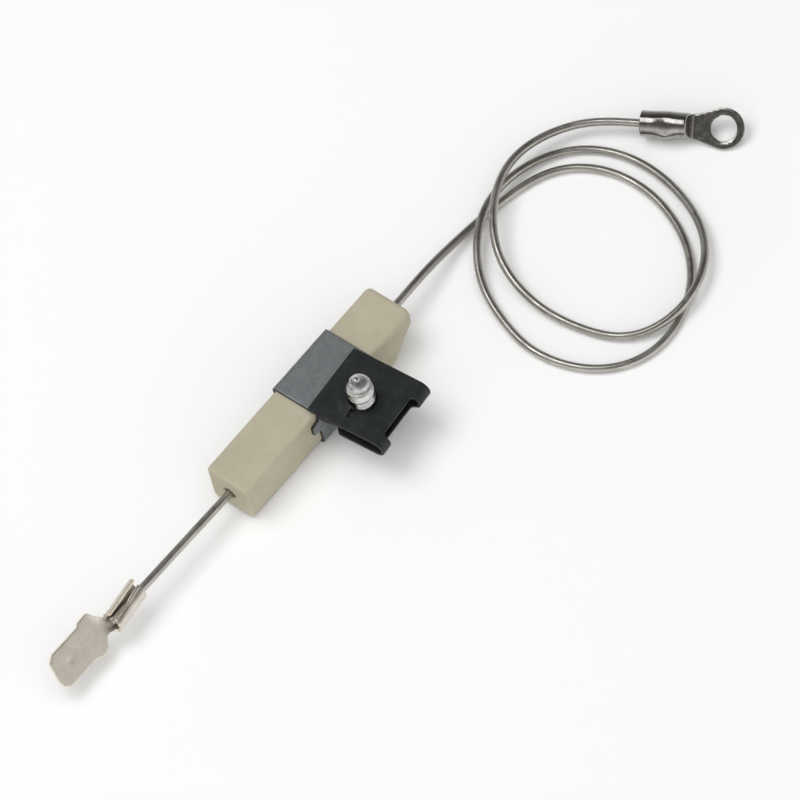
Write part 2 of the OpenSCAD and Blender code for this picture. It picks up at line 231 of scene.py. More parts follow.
def folded_line(start, heading, steps):
    """A folded sheet's middle line, seen from its end. at(s) gives its point and left normal at length s."""

    def at(s):
        here, angle, left = Vector(start), math.radians(heading), s
        for i, (length, turn) in enumerate(steps):
            part = left if i == len(steps) - 1 else min(left, length)
            if turn:
                curve = turn / length
                after = angle + curve * part
                here += Vector((math.sin(after) - math.sin(angle), math.cos(angle) - math.cos(after))) / curve
                angle = after
            else:
                here += Vector((math.cos(angle), math.sin(angle))) * part
            left -= part
            if left <= 0:
                break
        return here, Vector((-math.sin(angle), math.cos(angle)))

    return at


def divided(outline, step):
    """The outline with points added along its long edges, so that a bend can curve them."""
    points = []
    for a, b in zip(outline, outline[1:] + outline[:1]):
        a, b = Vector(a), Vector(b)
        parts = max(1, math.ceil((b - a).length / step))
        points += [tuple(a.lerp(b, i / parts)) for i in range(parts)]
    return points


def section(x, row, corner_points, parts, lift=0.0):
    """A section across X from an outline of round corners in Y and Z, with its straight sides divided."""
    full = []
    for i, (y, z) in enumerate(row):
        next_y, next_z = row[(i + 1) % len(row)]
        count = parts if (i + 1) % corner_points == 0 else 1
        for k in range(count):
            full.append(Vector((x, y + (next_y - y) * k / count, lift + (z + (next_z - z) * k / count))))
    return full


# ---- making pieces ----


def add_object(name, data):
    """Makes an object of some data and links it to the scene."""
    made = bpy.data.objects.new(name, data)
    bpy.context.scene.collection.objects.link(made)
    return made


def finish_mesh(name, verts, faces, material, cut_from=None):
    """A smooth-shaded object from points in millimetres. Faces from number cut_from on are cut edges."""
    same_place, no_length = 2e-7, 1e-8
    mesh = bpy.data.meshes.new(name)
    mesh.from_pydata([Vector(v) * MM for v in verts], [], faces)
    if cut_from is not None:
        marks = mesh.attributes.new("cut", "FLOAT", "FACE")
        for i in range(cut_from, len(faces)):
            marks.data[i].value = 1.0
    bm = bmesh.new()
    bm.from_mesh(mesh)
    bmesh.ops.remove_doubles(bm, verts=bm.verts, dist=same_place)
    bmesh.ops.dissolve_degenerate(bm, edges=bm.edges, dist=no_length)
    bmesh.ops.recalc_face_normals(bm, faces=bm.faces)
    bm.to_mesh(mesh)
    bm.free()
    mesh.materials.append(material)
    mesh.shade_smooth()
    return add_object(name, mesh)


def weight_normals(piece):
    """Keeps flat faces flat beside their rounded edges."""
    modifier = piece.modifiers.new("flat_faces", "WEIGHTED_NORMAL")
    modifier.weight = 80
    modifier.keep_sharp = True


def combine(piece, tool, operation):
    """Joins a second closed mesh to the piece, or cuts it out, and removes it."""
    modifier = piece.modifiers.new("combine", "BOOLEAN")
    modifier.operation = operation
    modifier.solver = "EXACT"
    modifier.object = tool
    graph = bpy.context.evaluated_depsgraph_get()
    made = bpy.data.meshes.new_from_object(piece.evaluated_get(graph))
    piece.modifiers.clear()
    piece.data = made
    made.shade_smooth()
    bpy.data.objects.remove(tool)


def attach(piece, body, slot, *nodes):
    """The piece rides on its body and stands for its CAD nodes, which it hides. Its slot is not used."""
    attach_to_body(piece, body)
    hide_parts(*nodes)


def ring_grid(name, rows, material, ends=True):
    """A closed skin over rows of points that all have the same count, with flat ends."""
    count = len(rows[0])
    verts = [p for row in rows for p in row]
    faces = []
    for i in range(len(rows) - 1):
        for k in range(count):
            n = (k + 1) % count
            faces.append((i * count + k, i * count + n, (i + 1) * count + n, (i + 1) * count + k))
    if ends:
        faces.append(tuple(range(count)))
        faces.append(tuple((len(rows) - 1) * count + k for k in reversed(range(count))))
    return finish_mesh(name, verts, faces, material)


def tube(name, path, radii, sides, material):
    """A round tube along a path, with a radius for each point."""
    rows = []
    for i, here in enumerate(path):
        ahead = (Vector(path[min(i + 1, len(path) - 1)]) - Vector(path[max(i - 1, 0)])).normalized()
        side = ahead.cross(Vector((0, 0, 1))).normalized()
        up = side.cross(ahead)
        turn = [2 * math.pi * k / sides for k in range(sides)]
        rows.append([Vector(here) + radii[i] * (math.cos(a) * side + math.sin(a) * up) for a in turn])
    return ring_grid(name, rows, material)


def shrunk(outline, amount):
    """A closed counterclockwise outline moved inwards, or outwards for a clockwise hole."""
    points = []
    for i, here in enumerate(outline):
        a = (Vector(here) - Vector(outline[i - 1])).normalized()
        b = (Vector(outline[(i + 1) % len(outline)]) - Vector(here)).normalized()
        normal = Vector((-a.y - b.y, a.x + b.x))
        normal = normal.normalized() / max(math.cos(a.angle(b) / 2), 0.5)
        points.append(tuple(Vector(here) + normal * amount))
    return points


def fill_points(outline, holes, loops, step):
    """A triangular grid of points within the outline, clear of its holes and edge loops."""
    row_share, clear_share = 0.87, 0.45
    xs, ys = [p[0] for p in outline], [p[1] for p in outline]
    points = []
    for i in range(1, int((max(xs) - min(xs)) / step) + 1):
        for k in range(1, int((max(ys) - min(ys)) / (step * row_share)) + 1):
            p = (min(xs) + (i + (k % 2) / 2) * step, min(ys) + k * step * row_share)
            if on_sheet(p, outline, holes) and min(gap_to(p, loop) for loop in loops) > step * clear_share:
                points.append(p)
    return points


def flat_triangles(outline, holes, loops, step):
    """The sheet's plan as points and triangles, and the number that each loop's point has among them."""
    points = [p for loop in loops for p in loop]
    edges, start = [], 0
    for loop in loops:
        edges += [(start + i, start + (i + 1) % len(loop)) for i in range(len(loop))]
        start += len(loop)
    points += fill_points(outline, holes, loops, step)
    found = geometry.delaunay_2d_cdt([Vector(p) for p in points], edges, [], 1, 1e-6)
    flat, triangles, sources = found[0], found[2], found[3]
    kept = []
    for t in triangles:
        middle = sum((flat[i] for i in t), Vector((0, 0))) / 3
        if on_sheet(middle, outline, holes):
            kept.append(tuple(t))
    number = {source: i for i, group in enumerate(sources) for source in group}
    return flat, kept, number


def edge_profile(half, edge):
    """A rounded cut edge from the upper side to the lower one, as (distance in from the outline, height)."""
    arcs = 3
    upper = []
    for k in range(1, arcs):
        a = math.pi / 2 * (1 - k / arcs)
        upper.append((edge * (1 - math.cos(a)), half - edge + edge * math.sin(a)))
    upper.append((0.0, half - edge))
    return upper + [(out, -up) for out, up in reversed(upper)]


def sheet(name, outline, holes, thickness, place, material, step, edge):
    """A sheet cut to a flat outline with holes, all counterclockwise, with rounded edges. place(x, y, n)
    bends it, and n is the height from the middle of its thickness."""
    loops = [outline] + [list(reversed(hole)) for hole in holes]
    flat, kept, number = flat_triangles(outline, holes, [shrunk(loop, edge) for loop in loops], step)
    count, half = len(flat), thickness / 2
    verts = [place(p.x, p.y, half) for p in flat] + [place(p.x, p.y, -half) for p in flat]
    faces = kept + [tuple(count + i for i in reversed(t)) for t in kept]
    cut_from = len(faces)
    start = 0
    for loop in loops:
        top = [number[start + i] for i in range(len(loop))]
        belt = [top]
        for out, up in edge_profile(half, edge):
            first = len(verts)
            verts += [place(x, y, up) for x, y in shrunk(loop, out)]
            belt.append(list(range(first, first + len(loop))))
        belt.append([count + i for i in top])
        for a, b in zip(belt, belt[1:]):
            for i in range(len(loop)):
                n = (i + 1) % len(loop)
                faces.append((a[i], a[n], b[n], b[i]))
        start += len(loop)
    piece = finish_mesh(name, verts, faces, material, cut_from)
    weight_normals(piece)
    return piece


# ---- materials ----


class Shader:
    """A material's node tree, with a short call for each kind of node that the materials here use."""

    def __init__(self, name):
        self.material = bpy.data.materials.new(name)
        self.material.use_nodes = True
        self.nodes = self.material.node_tree.nodes
        self.links = self.material.node_tree.links
        self.surface = self.nodes["Principled BSDF"]
        self.place = self.nodes.new("ShaderNodeTexCoord").outputs["Object"]

    def put(self, value, socket):
        """Links an output to a socket, or sets the socket's own value."""
        if isinstance(value, bpy.types.NodeSocket):
            self.links.new(value, socket)
        elif isinstance(value, tuple) and len(value) == 3:
            socket.default_value = (*value, 1.0)
        else:
            socket.default_value = value

    def stretch(self, x, y, z):
        """Object coordinates scaled by axis, which draws the pattern out along the small ones."""
        node = self.nodes.new("ShaderNodeVectorMath")
        node.operation = "MULTIPLY"
        self.put(self.place, node.inputs[0])
        node.inputs[1].default_value = (x, y, z)
        return node.outputs[0]

    def noise(self, size_mm, detail=3.0, roughness=0.55, place=None):
        """Smooth noise whose lumps are about size_mm across."""
        node = self.nodes.new("ShaderNodeTexNoise")
        self.put(place or self.place, node.inputs["Vector"])
        node.inputs["Scale"].default_value = 1 / (size_mm * MM)
        node.inputs["Detail"].default_value = detail
        node.inputs["Roughness"].default_value = roughness
        return node.outputs["Fac"]

    def cells(self, size_mm):
        """Distance from the middle of Voronoi cells about size_mm across."""
        node = self.nodes.new("ShaderNodeTexVoronoi")
        self.put(self.place, node.inputs["Vector"])
        node.inputs["Scale"].default_value = 1 / (size_mm * MM)
        return node.outputs["Distance"]

    def between(self, value, low, high, start=0.0, end=1.0):
        """value from low to high becomes start to end, and stays there beyond."""
        node = self.nodes.new("ShaderNodeMapRange")
        node.interpolation_type = "SMOOTHSTEP"
        for socket, number in zip(node.inputs[:5], (value, low, high, start, end)):
            self.put(number, socket)
        return node.outputs[0]

    def times(self, a, b):
        """a times b."""
        node = self.nodes.new("ShaderNodeMath")
        node.operation = "MULTIPLY"
        self.put(a, node.inputs[0])
        self.put(b, node.inputs[1])
        return node.outputs[0]

    def mix(self, share, a, b):
        """Colour a where share is 0 and colour b where it is 1."""
        node = self.nodes.new("ShaderNodeMix")
        node.data_type = "RGBA"
        self.put(share, node.inputs[0])
        self.put(a, node.inputs[6])
        self.put(b, node.inputs[7])
        return node.outputs[2]

    def over(self, base, share, most, colour):
        """The base with a colour laid over it by share, at most this strongly."""
        return self.mix(self.times(share, most), base, colour)

    def edges(self, radius_mm):
        """1 on convex and concave edges, where the rounded normal leaves the true one."""
        least, most = 0.02, 0.25
        soft = self.nodes.new("ShaderNodeBevel")
        soft.samples = 4
        soft.inputs["Radius"].default_value = radius_mm * MM
        true = self.nodes.new("ShaderNodeNewGeometry")
        dot = self.nodes.new("ShaderNodeVectorMath")
        dot.operation = "DOT_PRODUCT"
        self.put(soft.outputs[0], dot.inputs[0])
        self.put(true.outputs["Normal"], dot.inputs[1])
        return self.between(dot.outputs["Value"], 1 - least, 1 - most)

    def cut_edges(self):
        """1 on the sheet's cut edges, which its mesh marks."""
        node = self.nodes.new("ShaderNodeAttribute")
        node.attribute_name = "cut"
        return node.outputs["Fac"]

    def bump(self, *layers):
        """Height layers as (height output, depth in millimetres), stacked into the surface's normal."""
        normal = None
        for height, depth_mm in layers:
            node = self.nodes.new("ShaderNodeBump")
            node.inputs["Strength"].default_value = 1.0
            node.inputs["Distance"].default_value = depth_mm * MM
            self.put(height, node.inputs["Height"])
            if normal:
                self.put(normal, node.inputs["Normal"])
            normal = node.outputs[0]
        self.put(normal, self.surface.inputs["Normal"])

    def set(self, **values):
        """Sets the surface's sockets by name, with _ for a space."""
        for name, value in values.items():
            self.put(value, self.surface.inputs[name.replace("_", " ")])
        return self.material


def steatite():
    """Dry pressed ceramic: warm beige, matt, finely speckled, and paler on its edges, partly from rubbing and
    partly as a painted highlight.
    """
    s = Shader("steatite_ceramic")
    cloud = s.between(s.noise(6, 4), 0.35, 0.65)
    base = s.mix(cloud, (0.445, 0.41, 0.305), (0.485, 0.45, 0.342))
    grain = s.between(s.noise(0.22, 2, 0.6), 0.40, 0.62)
    base = s.over(base, grain, 0.35, (0.36, 0.325, 0.235))
    pale_specks = s.between(s.cells(0.55), 0.16, 0.06)
    base = s.over(base, pale_specks, 0.5, (0.60, 0.57, 0.46))
    dark_specks = s.between(s.cells(1.3), 0.075, 0.045)
    base = s.over(base, dark_specks, 0.55, (0.20, 0.17, 0.12))
    # paler edges: real rubbing, and also a painted highlight along the ridges
    rubbed_and_highlit = s.times(s.edges(0.45), s.between(s.noise(1.2, 3), 0.3, 0.6, 0.35, 1.0))
    base = s.over(base, rubbed_and_highlit, 0.55, (0.62, 0.58, 0.46))
    s.bump((s.noise(2.5, 3), 0.03), (s.noise(0.25, 2), 0.012), (s.cells(0.5), 0.006))
    return s.set(Base_Color=base, Roughness=s.between(grain, 0, 1, 0.62, 0.78), Specular_IOR_Level=0.35)


def refractory_cement():
    """Pale, gritty cement."""
    s = Shader("refractory_cement")
    grit = s.between(s.noise(0.3, 4, 0.7), 0.35, 0.65)
    base = s.mix(grit, (0.56, 0.53, 0.46), (0.74, 0.72, 0.65))
    s.bump((s.noise(0.35, 4, 0.7), 0.08), (s.cells(0.6), 0.04))
    return s.set(Base_Color=base, Roughness=s.between(grit, 0, 1, 0.95, 0.8))


def zinc_sheet():
    """Dull blue-grey zinc plate: mottled, faintly scratched along the roll, and near black on its cut edges,
    which are raw steel painted darker as painted shade.
    """
    s = Shader("zinc_sheet")
    mottle = s.between(s.noise(1.6, 5, 0.6), 0.35, 0.68)
    base = s.mix(mottle, (0.215, 0.232, 0.238), (0.268, 0.286, 0.292))
    stain = s.between(s.noise(4.5, 3), 0.55, 0.72)
    base = s.over(base, stain, 0.4, (0.165, 0.178, 0.183))
    roll = s.noise(0.25, 2, 0.6, s.stretch(0.05, 1, 1))
    base = s.over(base, s.between(roll, 0.55, 0.75), 0.3, (0.34, 0.36, 0.365))
    worn = s.times(s.edges(0.14), s.between(s.noise(0.8, 2), 0.35, 0.6, 0.1, 1.0))
    base = s.over(base, worn, 0.45, (0.36, 0.38, 0.375))
    # cut edges painted near black: the darker raw steel, made darker still as painted shade
    raw_and_shaded_cut = s.times(s.cut_edges(), s.between(s.noise(0.9, 2), 0.25, 0.5, 0.55, 1.0))
    base = s.over(base, raw_and_shaded_cut, 0.9, (0.035, 0.036, 0.034))
    s.bump((roll, 0.006), (s.noise(0.9, 4), 0.012))
    rough = s.between(mottle, 0, 1, 0.52, 0.40)
    return s.set(Base_Color=base, Metallic=0.75, Roughness=rough)


def black_spring_steel():
    """Phosphated black steel: near black and semi-matt, with dusty blotches and worn edges."""
    s = Shader("black_spring_steel")
    blotch = s.between(s.noise(2.2, 5, 0.62), 0.36, 0.68)
    base = s.mix(blotch, (0.010, 0.0125, 0.013), (0.019, 0.0225, 0.0225))
    dust = s.between(s.noise(0.35, 3, 0.65), 0.62, 0.78)
    base = s.over(base, dust, 0.35, (0.055, 0.058, 0.055))
    worn = s.times(s.edges(0.12), s.between(s.noise(0.7, 3), 0.35, 0.6, 0.25, 1.0))
    base = s.over(base, worn, 0.75, (0.085, 0.088, 0.085))
    s.bump((s.noise(0.16, 2, 0.6), 0.006), (s.noise(1.8, 3), 0.01))
    rough = s.between(blotch, 0, 1, 0.55, 0.44)
    return s.set(Base_Color=base, Metallic=0.2, Roughness=rough, Specular_IOR_Level=0.4)


def bright_zinc():
    """Bright zinc plate on rolled threads: mirror-like with fine rolling marks and grey pits."""
    s = Shader("bright_zinc")
    cloud = s.between(s.noise(1.4, 4), 0.35, 0.65)
    base = s.mix(cloud, (0.44, 0.445, 0.445), (0.60, 0.60, 0.595))
    pits = s.between(s.noise(0.25, 3, 0.6), 0.62, 0.76)
    base = s.over(base, pits, 0.25, (0.25, 0.25, 0.245))
    marks = s.noise(0.12, 2, 0.5, s.stretch(0.2, 0.2, 1))
    s.bump((marks, 0.0008), (s.noise(0.9, 2), 0.004))
    rough = s.between(s.noise(0.9, 3), 0.35, 0.65, 0.17, 0.30)
    return s.set(Base_Color=base, Metallic=1.0, Roughness=rough)


def sensor_alloy():
    """Drawn resistance-alloy wire: warm grey, slightly oxidised in patches, with fine drawing marks."""
    s = Shader("sensor_alloy")
    patch = s.between(s.noise(7, 4), 0.38, 0.66)
    base = s.mix(patch, (0.42, 0.405, 0.37), (0.53, 0.515, 0.475))
    speck = s.between(s.noise(0.5, 3, 0.6), 0.60, 0.76)
    base = s.over(base, speck, 0.3, (0.25, 0.235, 0.21))
    s.bump((s.noise(0.12, 2, 0.5), 0.004), (s.noise(1.5, 2), 0.012))
    rough = s.between(s.noise(2.2, 3), 0.35, 0.65, 0.27, 0.40)
    return s.set(Base_Color=base, Metallic=1.0, Roughness=rough)


def satin_nickel():
    """Satin nickel on the tab: warm, soft and evenly grained, brighter on its sheared edges."""
    s = Shader("satin_nickel")
    cloud = s.between(s.noise(1.8, 4), 0.36, 0.66)
    base = s.mix(cloud, (0.69, 0.645, 0.58), (0.755, 0.71, 0.645))
    grain = s.noise(0.10, 2, 0.6)
    speck = s.between(s.noise(0.3, 3, 0.6), 0.64, 0.78)
    base = s.over(base, speck, 0.3, (0.38, 0.345, 0.30))
    base = s.over(base, s.edges(0.12), 0.5, (0.88, 0.83, 0.74))
    torn = s.between(s.noise(0.35, 3, 0.65), 0.52, 0.66)
    sheared = s.mix(torn, (0.90, 0.83, 0.68), (0.40, 0.35, 0.27))
    base = s.over(base, s.cut_edges(), 0.85, sheared)
    s.bump((grain, 0.002), (s.noise(1.1, 3), 0.008))
    rough = s.between(s.noise(0.8, 3), 0.35, 0.65, 0.36, 0.48)
    return s.set(Base_Color=base, Metallic=1.0, Roughness=rough)


def bright_nickel():
    """Bright nickel on the ring terminal: a base colour darkened as a painted dark reflection, warm tint,
    small pits and handling marks.
    """
    s = Shader("bright_nickel")
    cloud = s.between(s.noise(1.5, 4), 0.35, 0.65)
    # base colours far darker than nickel: a painted dark reflection on the plate and barrel
    base = s.mix(cloud, (0.30, 0.292, 0.275), (0.40, 0.388, 0.365))
    pits = s.between(s.noise(0.22, 3, 0.65), 0.60, 0.74)
    base = s.over(base, pits, 0.5, (0.22, 0.20, 0.175))
    base = s.over(base, s.edges(0.12), 0.5, (0.80, 0.70, 0.56))
    s.bump((s.noise(0.18, 3, 0.6), 0.002), (s.noise(1.2, 3), 0.012))
    rough = s.between(s.noise(0.7, 3), 0.35, 0.65, 0.11, 0.21)
    return s.set(Base_Color=base, Metallic=1.0, Roughness=rough)


# ---- camera and lights ----


def make_camera():
    """The photograph's view: from above on the U-nut's side, with a long lens, turned about its own axis."""
    azimuth, elevation, roll = (math.radians(a) for a in (-37.48, 56.29, -16.14))
    target = Vector((12.79, -11.75, 0)) * MM
    distance, view_width = 2.4, 0.15676
    back = Vector((math.sin(azimuth) * math.cos(elevation), -math.cos(azimuth) * math.cos(elevation),
                   math.sin(elevation)))
    level = Vector((math.cos(azimuth), math.sin(azimuth), 0))
    right = level * math.cos(roll) + back.cross(level) * math.sin(roll)
    up = back.cross(right)
    data = bpy.data.cameras.new("camera")
    data.lens = data.sensor_width * distance / view_width
    data.clip_start, data.clip_end = 0.1, 20
    camera = add_object("camera", data)
    turn = Matrix((right, up, back)).transposed().to_4x4()
    camera.matrix_world = Matrix.Translation(target + back * distance) @ turn
    bpy.context.scene.camera = camera


def soft_light(name, place, size, power, mirrored=True):
    """A square soft box that points at the object. A diffused one isn't mirrored in bright metal."""
    data = bpy.data.lights.new(name, "AREA")
    data.size = size
    data.energy = power
    lamp = add_object(name, data)
    lamp.location = place
    lamp.rotation_euler = (-Vector(place)).to_track_quat("-Z", "Y").to_euler()
    lamp.visible_glossy = mirrored


def make_stage():
    """A plain pale floor under a soft box and a wide, diffused fill light."""
    size = 3.0
    verts = [(-size, -size, 0), (size, -size, 0), (size, size, 0), (-size, size, 0)]
    mesh = bpy.data.meshes.new("floor")
    mesh.from_pydata(verts, [], [(0, 1, 2, 3)])
    floor = add_object("floor", mesh)
    paper = Shader("pale_paper")
    mesh.materials.append(paper.set(Base_Color=(0.95, 0.95, 0.95), Roughness=0.9, Specular_IOR_Level=0.1))
    make_sky()
    bpy.context.scene.view_settings.view_transform = "Standard"
    soft_light("key", (-0.15, 0.35, 0.92), 0.6, 3.0)
    soft_light("fill", (-0.15, -0.15, 1.1), 2.0, 12.5, mirrored=False)


def sky_ramp(nodes, low, high, start, end):
    """A smooth ramp node: its value from low to high becomes start to end."""
    node = nodes.new("ShaderNodeMapRange")
    node.interpolation_type = "SMOOTHSTEP"
    for socket, number in zip(node.inputs[1:5], (low, high, start, end)):
        socket.default_value = number
    return node


def make_sky():
    """Soft studio walls all round: pale at table height, dark overhead, and paler in front than behind."""
    world = bpy.data.worlds.new("studio")
    world.use_nodes = True
    nodes, links = world.node_tree.nodes, world.node_tree.links
    way = nodes.new("ShaderNodeTexCoord").outputs["Generated"]
    split = nodes.new("ShaderNodeSeparateXYZ")
    links.new(way, split.inputs[0])
    height = sky_ramp(nodes, 0.05, 0.85, SKY_LOW, SKY_HIGH)
    links.new(split.outputs["Z"], height.inputs["Value"])
    facing = nodes.new("ShaderNodeVectorMath")
    facing.operation = "DOT_PRODUCT"
    facing.inputs[1].default_value = SKY_FRONT_WAY
    links.new(way, facing.inputs[0])
    front = sky_ramp(nodes, -0.5, 0.95, SKY_BACK, SKY_FRONT)
    links.new(facing.outputs["Value"], front.inputs["Value"])
    level = nodes.new("ShaderNodeMath")
    level.operation = "MULTIPLY"
    links.new(height.outputs[0], level.inputs[0])
    links.new(front.outputs[0], level.inputs[1])
    links.new(level.outputs[0], nodes["Background"].inputs["Strength"])
    nodes["Background"].inputs["Color"].default_value = (1.0, 0.99, 0.975, 1.0)
    bpy.context.scene.world = world


# ---- the lead ----


def make_lead(material, ring):
    """The bare wire's free length, as one smooth curve into the ring terminal."""
    curve = bpy.data.curves.new("lead", "CURVE")
    curve.dimensions = "3D"
    spline = curve.splines.new("NURBS")
    spline.points.add(len(LEAD_ROUTE) - 1)
    for point, place in zip(spline.points, LEAD_ROUTE):
        point.co = (*place, 1.0)
    spline.order_u = 4
    spline.use_endpoint_u = True
    spline.resolution_u = 10
    curve.bevel_depth = WIRE_R * MM
    curve.bevel_resolution = 6
    curve.use_fill_caps = True
    curve.materials.append(material)
    lead = add_object("lead", curve)
    attach(lead, "probe", "sensor_alloy", "lead_wire")


# ---- ring terminal ----


def soft_box(x, half_width, half_height, corner, middle_z):
    """One section across X: a box with round corners, which is a circle when the three sizes are equal."""
    steps, side_steps = 8, 4
    row = []
    for start, sy, sz in ((0, 1, 1), (90, -1, 1), (180, -1, -1), (270, 1, -1)):
        cy, cz = sy * (half_width - corner), sz * (half_height - corner)
        for k in range(steps + 1):
            a = math.radians(start + 90 * k / steps)
            row.append((cy + corner * math.cos(a), cz + corner * math.sin(a)))
    return section(x, row, steps + 1, side_steps, middle_z)


def make_ring_barrel(spot, material):
    """The crimped tube: hollow at its mouth, squeezed by the tool, and pressed flat towards the ring."""
    inner_r, pressed_half, round_share, step = 1.8, 0.33, 0.97, 0.15
    crimp_x, crimp_run, squeeze, swelling = 6.4, 1.7, 0.3, 0.14
    flat_start, flat_end, barrel_end = RING_NECK + 0.4, RING_NECK + 1.5, RING_NECK + 2.2
    mouth = ((4.0, 0.8), (2.6, inner_r - 0.1), (0.3, inner_r), (0.08, inner_r + 0.08), (0.0, inner_r + 0.25),
             (0.0, RING_BARREL_R - 0.22), (0.06, RING_BARREL_R - 0.06), (0.2, RING_BARREL_R))
    rows = [soft_box(RING_MOUTH + at, r, r, r * round_share, 0) for at, r in mouth]
    x = RING_MOUTH + 0.4
    while x < barrel_end:
        # the tool squeezes the middle, which swells out sideways
        swell = math.exp(-((x - crimp_x) / crimp_run) ** 2)
        r = RING_BARREL_R + swelling * swell
        flat = smooth(flat_start, flat_end, x)
        upright = (1 - flat) ** 1.25
        half_width = r * (1 - flat) + flat * (RING_NECK_HALF + (x - RING_NECK) * RING_WIDEN)
        half_height = (r - squeeze * swell) * upright + pressed_half * (1 - upright)
        corner = half_height * (round_share - 0.5 * flat)
        row = soft_box(x, half_width, half_height, corner, -RING_DROP * flat)
        for i, p in enumerate(row):
            out = Vector((0, p.y, p.z + RING_DROP * flat)).normalized()
            serrated = 0.28 * swell * smooth(-1.6, -2.4, p.y) * (1 + 0.5 * wobble(p, 0.45, 9))
            row[i] = p + out * (1 - flat) * (0.03 * wobble(p, 2.5, 4) + serrated)
        rows.append(row)
        x += step
    rows = [[spot @ p for p in row] for row in rows]
    return ring_grid("ring_barrel", rows, material)


def make_ring_terminal(material):
    """A plated tube crimped on the lead, pressed flat into a tongue that widens to the ring."""
    mouth, end = (Vector(LEAD_ROUTE[i]) / MM for i in (-2, -1))
    heading = math.atan2(end.y - mouth.y, end.x - mouth.x)
    spot = (Matrix.Translation(mouth) @ Matrix.Rotation(heading, 4, "Z")
            @ Matrix.Rotation(math.radians(RING_ROLL), 4, "X"))
    start_x = RING_NECK + 1.25
    start_half = RING_NECK_HALF + (start_x - RING_NECK) * RING_WIDEN - 0.15
    outer = [(start_x, -start_half)]
    arcs = 40
    for k in range(arcs + 1):
        a = -(math.pi - RING_LEAN) + 2 * (math.pi - RING_LEAN) * k / arcs
        outer.append((RING_REACH + RING_R * math.cos(a), RING_R * math.sin(a)))
    outer.append((start_x, start_half))

    def place(x, y, n):
        return spot @ Vector((x, y, n - RING_DROP + 0.03 * wobble((x, y, 0), 3.5, 6)))

    hole = circle(RING_REACH, 0, RING_HOLE_R, 48)
    outer = divided(outer, 0.45)
    ring = sheet("ring_terminal_piece", outer, [hole], RING_T, place, material, step=0.5, edge=0.12)
    combine(ring, make_ring_barrel(spot, material), "UNION")
    weight_normals(ring)
    attach(ring, "probe", "bright_nickel", "ring_terminal")
    return ring


# ---- tab terminal ----


def crimped(at, x, open_share):
    """A point of the barrel's end view, pinched in the barrel's middle and turned askew on the blade."""
    pinch_run, pinch_in, pinch_down, askew, twist_most = 1.6, 0.3, 0.2, 1.1, 5
    pinch = math.exp(-((x - TAB_BARREL * 0.5) / pinch_run) ** 2)
    within = 1 - smooth(0.8, 2.0, abs(at.x))
    down = pinch_down * pinch * smooth(-0.4, 0.8, at.y) * within
    at = Vector((at.x * (1 - pinch_in * pinch * within) + 0.05, at.y - down))
    at.x += askew * x / TAB_BARREL
    twist = math.radians(twist_most) * (1 - open_share)
    c, s = math.cos(twist), math.sin(twist)
    return Vector((at.x * c - at.y * s, at.x * s + at.y * c))


def make_tab_terminal(material):
    """One sheet: a flat quick-connect blade with shoulders, a narrow neck, and wings rolled over the wire."""
    yaw, pitch, roll = (math.radians(a) for a in (TAB_YAW, TAB_PITCH, TAB_ROLL))
    spot = (Matrix.Translation(WIRE_BEND) @ Matrix.Rotation(yaw, 4, "Z") @ Matrix.Rotation(pitch, 4, "Y")
            @ Matrix.Translation((TAB_START, 0, 0)) @ Matrix.Rotation(roll, 4, "X")
            @ Matrix.Translation((0, -TAB_WIRE_Y, 0)))
    right_r, right_turn, curl_r, curl_turn = WIRE_R + TAB_T / 2, 210, 0.34, 105
    left_r, left_turn, left_foot, left_y = 0.95, 96, 0.15, -1.05
    right_steps = [arc(right_r, right_turn), arc(curl_r, -curl_turn), straight(1.0)]
    right_wing = folded_line((TAB_WIRE_Y, -right_r), 0, right_steps)
    left_steps = [straight(left_foot), arc(left_r, -left_turn), straight(1.6)]
    left_wing = folded_line((left_y, -right_r), 180, left_steps)
    right_edge = TAB_WIRE_Y + right_r * math.radians(right_turn) + curl_r * math.radians(curl_turn) + 0.2
    left_edge = left_y - (left_foot + left_r * math.radians(left_turn) + 1.3)
    neck_start, neck_low, neck_high, blade_low, blade_high = TAB_BARREL + 0.5, -1.8, 2.0, -3.5, 3.8
    plan = rounded(
        [(-0.4, left_edge), (TAB_BARREL, left_edge), (neck_start, neck_low), (10.2, -2.5),
         (11.0, -4.2), (13.7, -4.05), (14.3, blade_low), (21.9, blade_low), (23.55, blade_low + 1.05),
         (24.9, blade_high), (15.5, blade_high), (13.8, 4.5), (12.0, 3.9), (10.7, neck_high + 0.2),
         (neck_start, neck_high), (TAB_BARREL, right_edge), (-0.4, right_edge)],
        [0.3, 0.3, 0, 0.9, 0.35, 0.3, 0.25, 0.3, 0.3, 1.9, 1.2, 1.0, 0.9, 0.8, 0, 0.3, 0.3], 5)
    dimple_x, dimple_depth, gutter_depth = 19.7, 0.05, 0.13

    def rolled(y, n):
        if y >= TAB_WIRE_Y:
            at, normal = right_wing(y - TAB_WIRE_Y)
        elif y <= left_y:
            at, normal = left_wing(left_y - y)
            normal = -normal
        else:
            at, normal = Vector((y, -right_r)), Vector((0, 1))
        return at + normal * n

    def place(x, y, n):
        open_share = smooth(TAB_BARREL - 0.1, TAB_BARREL + 1.9, x)
        flat = Vector((y, -TAB_DROP + n))
        at = crimped(rolled(y, n) if open_share < 1 else flat, x, open_share)
        gutter = gutter_depth * (1 - smooth(TAB_BARREL, 11.5, x)) * open_share * y * y
        here = at.lerp(flat + Vector((0, gutter)), open_share)
        dimple = dimple_depth * (1 - smooth(0.5, 0.95, math.hypot(x - dimple_x, y)))
        return spot @ Vector((x, here.x, here.y - dimple))

    tab = sheet("tab_terminal_piece", divided(plan, 0.4), [], TAB_T, place, material, step=0.36, edge=0.11)
    attach(tab, "probe", "satin_nickel", "tab_terminal")


# ---- sensor wire through the block ----


